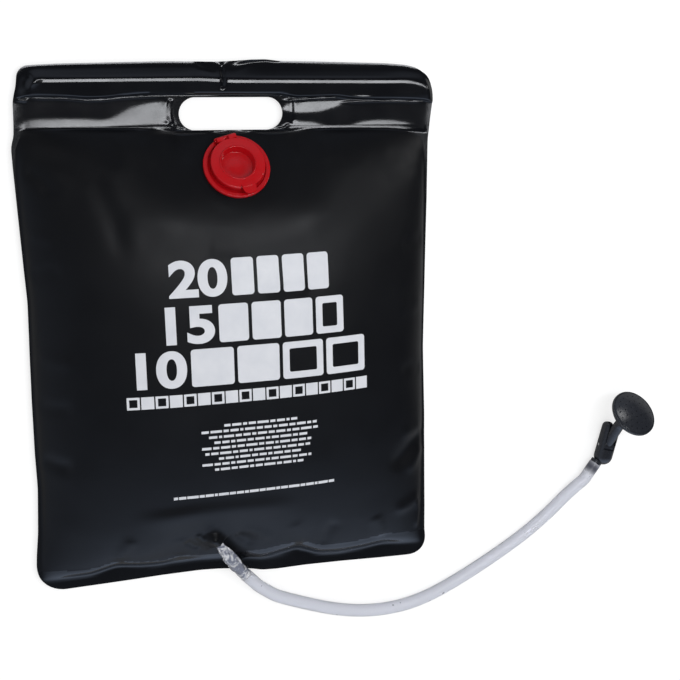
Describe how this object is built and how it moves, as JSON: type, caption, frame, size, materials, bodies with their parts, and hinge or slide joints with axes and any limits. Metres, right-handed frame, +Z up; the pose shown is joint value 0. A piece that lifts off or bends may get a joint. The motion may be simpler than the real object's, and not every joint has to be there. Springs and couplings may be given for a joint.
{
  "type": "camp shower bag",
  "caption": "Black two-film water bag with a hand hole, a red hinged filler lid, a clear hose and a tilting black shower head.",
  "frame": {"origin": "middle of the bag's flat resting face on its back", "axes": "+X to the right across the bag, +Y towards the hand hole, +Z up out of the bag's front"},
  "size_m": [0.6484, 0.57, 0.0621],
  "materials": {
    "film_black": "satin PVC film",
    "rod_white": "plain tube",
    "valve_red": "moulded, semi-gloss",
    "seal_rubber": "matte",
    "clear_vinyl": "clear, glossy",
    "hose_vinyl": "milky translucent",
    "head_black": "satin moulded",
    "pin_steel": "plain"
  },
  "bodies": {
    "bag": {"front_panel": "film_black", "back_panel": "film_black", "handle_rod_left": "rod_white", "handle_rod_right": "rod_white", "filler_base": "valve_red", "hinge_pin": "valve_red", "outlet_plate": "film_black", "outlet_spout": "clear_vinyl", "hose_joiner": "clear_vinyl", "hose": "hose_vinyl", "valve_body": "head_black", "valve_seal": "seal_rubber", "pivot_pin": "pin_steel"},
    "lid": {"filler_lid": "valve_red", "lid_seal": "seal_rubber"},
    "head": {"neck": "head_black", "rose_shell": "head_black", "rose_seal": "seal_rubber", "rose_face": "head_black", "hub_seal_left": "seal_rubber", "hub_seal_right": "seal_rubber"}
  },
  "joints": [
    {"name": "lid_hinge", "type": "hinge", "parent": "bag", "child": "lid", "pos_m": [-0.00848, 0.18457, 0.01655], "axis": [-0.9563, -0.2532, 0.1462], "range_deg": [0, 120]},
    {"name": "head_tilt", "type": "hinge", "parent": "bag", "child": "head", "pos_m": [0.4112, -0.154, 0.01], "axis": [0.9659, -0.2588, 0], "range_deg": [-27, 33]}
  ]
}
